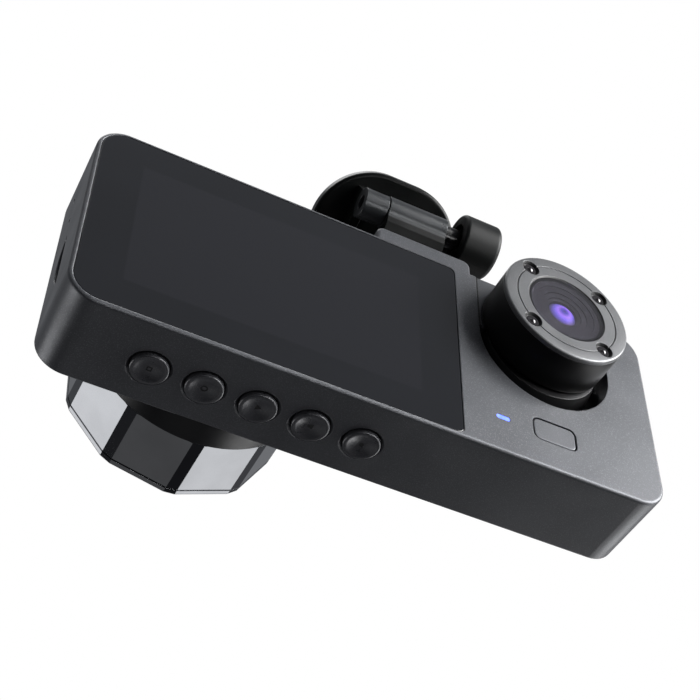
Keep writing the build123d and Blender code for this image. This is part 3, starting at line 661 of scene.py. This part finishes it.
def make_barrel(chrome, gloss):
    """Ten-sided barrel on its round plinth."""
    seat = BEZEL_SEAT
    root = CASE_FRONT - 5.3 * MM - FACE
    base = CASE_FRONT - 0.3 * MM - FACE
    inner = seat - 0.2 * MM
    profile = [(BARREL_BORE, base + 2 * MM), (PLINTH_R, base + 2 * MM), (PLINTH_R, base)]
    profile += arc(20.0 * MM, root + 0.35 * MM, 0.35 * MM, 0, -90)
    profile += [
        (19.1 * MM, root),
        (BARREL_R - 0.12 * MM, root, 1.0),
        (BARREL_R, root - 0.12 * MM, 1.0),
        (BARREL_R, seat + 0.20 * MM, 1.0),
        (BARREL_R - LIP, seat + 0.12 * MM, 1.0),
        (BARREL_R - LIP, seat - 0.02 * MM, 1.0),
        (18.2 * MM, seat - 0.02 * MM),
        (18.2 * MM, inner),
        (BARREL_BORE, inner),
    ]

    def paint(i, angle):
        return 1 if i < 9 else 0

    made = turned("barrel_housing", at_lens(FACE), "Y", profile, [chrome, gloss],
                  facet_radius, sharp=9, paint=paint)
    return use(made, "case", "black_gloss", "lens_barrel")


def make_bezel(chrome, paint_mat):
    """Ten-sided rim in front of the barrel."""
    seat = BEZEL_SEAT
    r = BARREL_R
    profile = [
        (BEZEL_BORE, seat),
        (r - LIP, seat, 1.0),
        (r - LIP, seat - 0.06 * MM, 1.0),
        (r, seat - 0.14 * MM, 1.0),
        (r, 0.42 * MM, 1.0),
        (r - 0.10 * MM, 0.20 * MM, 1.0),
        (r - 0.30 * MM, 0.06 * MM, 1.0),
        (r - 0.52 * MM, 0, 1.0),
        (BEZEL_BORE + 0.15 * MM, 0),
        (BEZEL_BORE, 0.12 * MM),
    ]

    def paint(i, angle):
        return 0 if i < 5 else 1

    made = turned("barrel_bezel_ring", at_lens(FACE), "Y", profile, [chrome, paint_mat],
                  facet_radius, sharp=9, paint=paint)
    return use(made, "case", "bezel_satin", "barrel_bezel")


# Engraved arcs on the disc: start and end of the whole group, then of its stretch painted bright as a
# highlight
ARC_GROUPS = ((28, 74, 62, 74), (130, 160, 0, 0), (208, 254, 242, 254), (300, 338, 0, 0))
ARC_RADII = (15.2, 15.7, 16.2, 16.7, 17.2)


def in_group(angle):
    """0 outside the engraved groups, 1 inside, 2 on a stretch painted bright as a highlight."""
    a = angle % 360
    for start, end, highlight0, highlight1 in ARC_GROUPS:
        if start <= a < end:
            return 2 if highlight0 <= a < highlight1 else 1
    return 0


def make_plate(paint_mat, dark, metal):
    """Disc with a groove near its rim and the engraved arcs; the groove floors are painted dark as shade,
    and two stretches bright as a highlight.
    """
    top = 0.10 * MM
    groove = top + 0.15 * MM

    def sunk(angle):
        return top + (0.12 * MM if in_group(angle) else 0)

    profile = [(8.85 * MM, 1.0 * MM), (17.7 * MM, 1.0 * MM), (17.7 * MM, groove)]
    profile += [(17.6 * MM, top), (17.52 * MM, top), (17.48 * MM, groove)]
    profile += [(17.36 * MM, groove), (17.32 * MM, top)]
    lines = set()
    for r in reversed(ARC_RADII):
        profile.append(((r + 0.10) * MM, top))
        profile.append(((r + 0.07) * MM, sunk))
        lines.add(len(profile) - 1)
        profile.append(((r - 0.07) * MM, sunk))
        profile.append(((r - 0.10) * MM, top))
    profile += [(9.05 * MM, top), (8.90 * MM, top + 0.12 * MM)]

    # Groove floors painted dark: painted shade; bright metal stretches: painted highlight.
    def paint(i, angle):
        if i in lines:
            return in_group(angle)
        return 1 if i == 5 else 0

    made = turned("bezel_disc", at_lens(FACE), "Y", profile, [paint_mat, dark, metal],
                  steps=720, sharp=20, paint=paint)
    return use(made, "case", "bezel_satin", "bezel_plate")


def make_window_ring(paint_mat):
    """Trim round the road window."""
    profile = [
        (WINDOW_BORE, 1.2 * MM),
        (8.70 * MM, 1.2 * MM),
        (8.70 * MM, 0.40 * MM),
        (8.60 * MM, 0.22 * MM),
        (8.40 * MM, 0.20 * MM),
        (7.10 * MM, 0.20 * MM),
        (6.90 * MM, 0.24 * MM),
        (WINDOW_BORE, 0.36 * MM),
    ]
    made = turned("window_trim", at_lens(FACE), "Y", profile, [paint_mat], steps=180, sharp=35)
    return use(made, "case", "bezel_satin", "window_ring")


def make_baffle(dark):
    """Stepped funnel seen through the window, down to the front element."""
    profile = [(6.6 * MM, 1.25 * MM), (6.6 * MM, 3.6 * MM), (3.3 * MM, 3.6 * MM), (3.3 * MM, 2.35 * MM)]
    steps = ((3.8, 2.2, 1.95), (4.4, 1.95, 1.75), (5.1, 1.75, 1.55), (5.9, 1.5, 1.32))
    for r, deep, shallow in steps:
        profile += [(r * MM, deep * MM), (r * MM, shallow * MM)]
    made = turned("lens_baffle", at_lens(FACE), "Y", profile, [dark], steps=120, sharp=35)
    return use(made, "case", "black_satin")


def make_front_lens(glass):
    rim = 3.2 * MM
    back = 3.4 * MM
    profile = dome(1.75 * MM, 5.4 * MM, rim, 1) + [(rim, back), (0.0, back)]
    made = turned("front_element", at_lens(FACE), "Y", profile, [glass], steps=96, sharp=40)
    return use(made, "case", "lens_glass", "lens_front_glass")


# ---------------------------------------------------------------- cabin camera

CABIN = middle("cabin_face")
CABIN_TOP = high("cabin_face").y
BACK = high("rear_frame").y
CABIN_R = 12.9 * MM
IR_CIRCLE = 10.4 * MM
IR_ANGLES = (48, 138, 228, 318)


def at_cabin(y):
    return (CABIN.x, y, CABIN.z)


def make_cabin_barrel(black):
    """Plain drum with rounded rims, open towards the window."""
    back = BACK - 0.8 * MM - CABIN_TOP
    front = -0.9 * MM
    floor = -2.6 * MM
    round_r = 1.0 * MM
    profile = [(7.3 * MM, front), (7.3 * MM, floor), (6.9 * MM, floor), (6.9 * MM, back + 1 * MM)]
    profile += [(8.2 * MM, back)]
    profile += arc(CABIN_R - round_r, back + round_r, round_r, -90, 0, 6)
    profile += [
        (CABIN_R, front - 0.25 * MM),
        (CABIN_R - 0.10 * MM, front - 0.08 * MM),
        (CABIN_R - 0.25 * MM, front),
    ]
    made = turned("cabin_drum", at_cabin(CABIN_TOP), "Y", profile, [black], steps=240, sharp=35)
    return use(made, "cabin_camera", "black_gloss", "cabin_barrel")


def make_cabin_inside(dark):
    """Stepped baffle behind the cabin window."""
    profile = [(7.2 * MM, -0.95 * MM), (7.2 * MM, -2.5 * MM)]
    for r, deep, shallow in ((3.0, 2.5, 1.75), (3.7, 1.75, 1.5), (4.8, 1.5, 1.25), (6.2, 1.25, 1.05)):
        profile += [(r * MM, -deep * MM), (r * MM, -shallow * MM)]
    made = turned("cabin_baffle", at_cabin(CABIN_TOP), "Y", profile, [dark], steps=120, sharp=35)
    return use(made, "cabin_camera", "black_satin", "cabin_lens_cell")


def make_cabin_lens(glass):
    rim = 2.9 * MM
    back = -3.4 * MM
    profile = dome(-1.25 * MM, 4.8 * MM, rim, -1) + [(rim, back), (0.0, back)]
    made = turned("cabin_element", at_cabin(CABIN_TOP), "Y", profile, [glass], steps=96, sharp=40)
    return use(made, "cabin_camera", "lens_glass", "cabin_lens_glass")


def make_cabin_face(paint_mat, dark):
    """Ring face with a fine circular groove and a countersunk well at each lamp; the groove floor, inner
    chamfer, bore and wells are painted dark as shade.
    """
    depth = -0.9 * MM
    profile = [(7.86 * MM, depth), (CABIN_R, depth)]
    profile += arc(CABIN_R - 0.4 * MM, -0.4 * MM, 0.4 * MM, 0, 90)
    groove = -0.16 * MM
    profile += [(IR_CIRCLE + 0.13 * MM, 0), (IR_CIRCLE + 0.11 * MM, groove)]
    profile += [(IR_CIRCLE - 0.11 * MM, groove), (IR_CIRCLE - 0.13 * MM, 0)]
    profile += [(8.10 * MM, 0), (7.86 * MM, -0.2 * MM)]

    # Groove floor, inner chamfer and bore wall painted dark: painted shade.
    def paint(i, angle):
        return 1 if i in (9, 12, 13) else 0

    made = turned("cabin_face_ring", at_cabin(CABIN_TOP), "Y", profile, [paint_mat, dark],
                  steps=240, paint=paint)

    # Well walls painted dark: painted shade.
    def well_shade(i, angle):
        return 1

    well = [
        (0.0, 0.4 * MM),
        (1.82 * MM, 0.4 * MM),
        (1.78 * MM, 0.0),
        (1.70 * MM, -0.10 * MM),
        (1.45 * MM, -0.55 * MM),
        (1.20 * MM, -0.60 * MM),
        (1.20 * MM, -1.2 * MM),
        (0.0, -1.2 * MM),
    ]
    wells = []
    for k, a in enumerate(IR_ANGLES):
        x = CABIN.x + IR_CIRCLE * cos(radians(a))
        z = CABIN.z + IR_CIRCLE * sin(radians(a))
        wells.append(turned(f"well_{k}", (x, CABIN_TOP, z), "Y", well, [paint_mat, dark],
                            steps=48, paint=well_shade))
    cut(made, wells)
    return use(made, "cabin_camera", "frame_grey", "cabin_face")


# ---------------------------------------------------------------- menu buttons

KEY_R = 3.2 * MM
DISH_R = 2.6 * MM
DISH_DEPTH = 0.45 * MM
DISH_BALL = (DISH_R ** 2 + DISH_DEPTH ** 2) / (2 * DISH_DEPTH)
KEY_EDGE_R = 0.3 * MM
STEM_R = 1.2 * MM
FLANGE_T = 0.6 * MM


def dish_z(r, top):
    """Height of the dished face of a button."""
    return top + DISH_DEPTH - DISH_BALL + sqrt(DISH_BALL ** 2 - r * r)


def make_menu_button(k, paint_mat, mark_mat):
    """Raised cap with a finger dish and its mark."""
    node = f"menu_button_{k}"
    c = middle(node)
    top = low(node).z
    end = high(node).z
    flange = c.x - low(node).x
    profile = [(0.0, dish_z(0.0, top))]
    for j in range(1, 13):
        r = j / 12 * (DISH_R - 0.12 * MM)
        profile.append((r, dish_z(r, top)))
    profile += [(DISH_R, top + 0.012 * MM), (DISH_R + 0.12 * MM, top)]
    profile += arc(KEY_R - KEY_EDGE_R, top + KEY_EDGE_R, KEY_EDGE_R, -90, 0, 6)
    inside = top + 2.5 * MM
    profile += [(KEY_R, inside), (flange, inside), (flange, inside + FLANGE_T)]
    profile += [(STEM_R, inside + FLANGE_T), (STEM_R, end), (0.0, end)]
    made = turned(f"menu_key_{k}", (c.x, c.y, 0.0), "Z", profile, [paint_mat], steps=96, sharp=40)
    use(made, f"menu_{k}", "case_grey", node)
    use(make_mark(k, c, top, mark_mat), f"menu_{k}", "black_satin")


def mark_outline(k):
    """Plain symbols: dot, arrow, arrow, ring and square."""
    if k in (2, 3):
        sign = 1 if k == 2 else -1
        return [(sign * 0.62, 0.0), (-sign * 0.42, 0.58), (-sign * 0.42, -0.58)]
    if k == 5:
        return [(0.45, 0.45), (-0.45, 0.45), (-0.45, -0.45), (0.45, -0.45)]
    size = 0.42 if k == 1 else 0.62
    return [(size * cos(2 * pi * j / 32), size * sin(2 * pi * j / 32)) for j in range(32)]


def make_mark(k, c, top, mat):
    """Printed symbol lying on the button, built in rings so that it follows the dish."""
    bm = bmesh.new()
    outer = mark_outline(k)
    inner_share = 0.6 if k in (4, 5) else 0.0
    n = len(outer)

    def ring(share, lift):
        out = []
        for x, y in outer:
            r = sqrt(x * x + y * y) * share * MM
            out.append(bm.verts.new((c.x + x * share * MM, c.y + y * share * MM, dish_z(r, top) - lift)))
        return out

    shares = [inner_share + (1 - inner_share) * j / 3 for j in range(4)]
    face_side = [ring(share, 0.02 * MM) for share in shares if share]
    back_side = [ring(share, -0.05 * MM) for share in shares if share]
    loops = face_side + back_side[::-1]
    for i in range(len(loops) - (0 if inner_share else 1)):
        a, b = loops[i], loops[(i + 1) % len(loops)]
        for j in range(n):
            m = (j + 1) % n
            bm.faces.new((a[j], a[m], b[m], b[j]))
    if not inner_share:
        bm.faces.new(loops[0])
        bm.faces.new(loops[-1])
    return finish_mesh(f"menu_mark_{k}", bm, [mat], 40)


# ---------------------------------------------------------------- studio

def make_world():
    world = bpy.data.worlds.new("studio")
    scene.world = world
    world.use_nodes = True
    tree = world.node_tree
    tree.nodes.clear()
    link = tree.links.new
    place = tree.nodes.new("ShaderNodeTexCoord")
    split = tree.nodes.new("ShaderNodeSeparateXYZ")
    lift = tree.nodes.new("ShaderNodeMapRange")
    lift.inputs["From Min"].default_value = -1.0
    link(place.outputs["Generated"], split.inputs["Vector"])
    link(split.outputs["Z"], lift.inputs["Value"])

    def sky(low_tone, high_tone):
        ramp = tree.nodes.new("ShaderNodeValToRGB")
        points = ramp.color_ramp.elements
        points[0].position, points[0].color = 0.15, (*low_tone, 1)
        points[1].position, points[1].color = 0.95, (*high_tone, 1)
        link(lift.outputs["Result"], ramp.inputs["Fac"])
        made = tree.nodes.new("ShaderNodeBackground")
        link(ramp.outputs["Color"], made.inputs["Color"])
        return made.outputs["Background"]

    def either(switch, off, on):
        mix = tree.nodes.new("ShaderNodeMixShader")
        link(switch, mix.inputs["Fac"])
        link(off, mix.inputs[1])
        link(on, mix.inputs[2])
        return mix.outputs["Shader"]

    path = tree.nodes.new("ShaderNodeLightPath")
    soft = sky((0.16, 0.16, 0.17), (0.45, 0.46, 0.48))
    mirror = sky((0.035, 0.035, 0.04), (0.32, 0.33, 0.35))
    white = sky((1, 1, 1), (1, 1, 1))
    lit = either(path.outputs["Is Glossy Ray"], soft, mirror)
    shown = either(path.outputs["Is Camera Ray"], lit, white)
    out = tree.nodes.new("ShaderNodeOutputWorld")
    link(shown, out.inputs["Surface"])


def softbox(name, direction, distance, width, height, radiance):
    """Area light seen from the object in one direction; its size and distance in metres."""
    data = bpy.data.lights.new(name, "AREA")
    data.shape = "RECTANGLE"
    data.size = width
    data.size_y = height
    data.energy = radiance * pi * width * height
    lamp = bpy.data.objects.new(name, data)
    scene.collection.objects.link(lamp)
    toward = Vector(direction).normalized()
    lamp.location = CENTRE + toward * distance
    lamp.rotation_mode = "QUATERNION"
    lamp.rotation_quaternion = toward.to_track_quat("Z", "Y")
    lamp.visible_camera = False


def make_studio():
    softbox("front_right_box", (0.78, -0.60, -0.22), 0.9, 0.46, 0.44, 3.8)
    softbox("front_left_box", (-0.75, -0.62, -0.26), 0.9, 0.50, 0.50, 3.4)
    softbox("under_card", (0.04, -0.62, -0.78), 0.8, 0.36, 0.36, 0.35)
    softbox("rear_key", (-0.95, 0.80, 0.25), 1.0, 0.8, 0.8, 21.0)
    softbox("edge_strip", (-0.31, 0.715, -0.625), 0.9, 0.9, 0.10, 14.0)
    softbox("side_box", (-1.0, -0.05, -0.35), 1.0, 0.6, 0.6, 3.0)
    softbox("top_box", (0.1, -0.1, 1.0), 1.0, 0.7, 0.5, 2.4)
    softbox("rear_rim", (0.35, 0.55, 1.0), 1.1, 0.5, 0.3, 1.2)


def make_floor():
    bm = bmesh.new()
    size = 6.0
    z = -0.46
    corners = [bm.verts.new((x * size, y * size, z)) for x, y in ((-1, -1), (1, -1), (1, 1), (-1, 1))]
    bm.faces.new(corners)
    p = Paint("floor", (0.86, 0.86, 0.86), 0.7)
    p.set("Emission Color", (1, 1, 1, 1))
    p.set("Emission Strength", 0.75)
    p.mottle(400, 0.02)
    floor = finish_mesh("floor", bm, [p.smudge(200, 0.05).mat])
    floor.visible_glossy = False
    floor.visible_diffuse = False


# ---------------------------------------------------------------- build

def repaint(mat, *nodes):
    for node in nodes:
        slots = NODES[node].data.materials
        slots.clear()
        slots.append(mat)


def main():
    case = satin_case()
    face = satin_face()
    chrome = black_chrome()
    gloss = gloss_black()
    satin = satin_black()
    moulded = moulded_black()
    bezel = bezel_paint()
    dark = deep_black()
    green = board_green()
    metal = steel()
    repaint(case, "front_shell", "rear_frame", "power_button")
    repaint(cradle_paint(), "cabin_cradle")
    repaint(satin, "av_jack", "mount_pin")
    repaint(moulded, "mount_knob")
    repaint(hinge_paint(), "mount_arm", "mount_plate")
    repaint(foam_pad(), "mount_pad")
    repaint(metal, "usb_socket", "card_socket", "board_screws", "microphone", "cabin_pivot_pins")
    repaint(screen_black(), "screen_glass")
    repaint(dark, "lcd_panel", "lens_cell", "lock_ring", "cabin_lens_cell", "backup_cell",
            "speaker", "memory_card", "reset_switch")
    repaint(green, "main_board", "button_board", "power_switch", "front_sensor_board", "cabin_sensor_board")
    repaint(lamp_clear(), "cabin_ir_lamps")
    repaint(blue_light(), "status_light")
    repaint(tinted_window("road_window", (0.60, 0.60, 0.64)), "lens_window")
    repaint(tinted_window("cabin_window_glass", (0.62, 0.60, 0.68)), "cabin_window")
    # The last entry of each lens table is the strength of the painted glow of the coating's reflection.
    road = (3.2, (
        (0.0, (0.03, 0.03, 0.045)),
        (0.35, (0.04, 0.04, 0.08)),
        (0.6, (0.06, 0.06, 0.13)),
        (1.0, (0.015, 0.015, 0.02)),
    ), 0.1)
    cabin = (3.0, (
        (0.0, (0.05, 0.04, 0.16)),
        (0.22, (0.10, 0.08, 0.50)),
        (0.45, (0.42, 0.22, 0.95)),
        (0.62, (0.22, 0.16, 0.80)),
        (0.85, (0.08, 0.07, 0.22)),
        (1.0, (0.03, 0.03, 0.06)),
    ), 0.55)
    road_lens = coated_lens("road_lens", LENS, road)
    repaint(road_lens, "lens_rear_glass")
    cabin_lens = coated_lens("cabin_lens", CABIN, cabin)

    make_barrel(chrome, gloss)
    make_bezel(chrome, bezel)
    make_plate(bezel, dark, groove_highlight_metal())
    make_window_ring(bezel)
    make_baffle(dark)
    make_front_lens(road_lens)
    make_cabin_barrel(drum_black())
    make_cabin_inside(dark)
    make_cabin_lens(cabin_lens)
    make_cabin_face(face, dark)
    key = satin_button()
    for k in range(1, 6):
        make_menu_button(k, key, dark)


scene.view_settings.view_transform = "Standard"
make_camera()
make_world()
make_studio()
make_floor()
main()
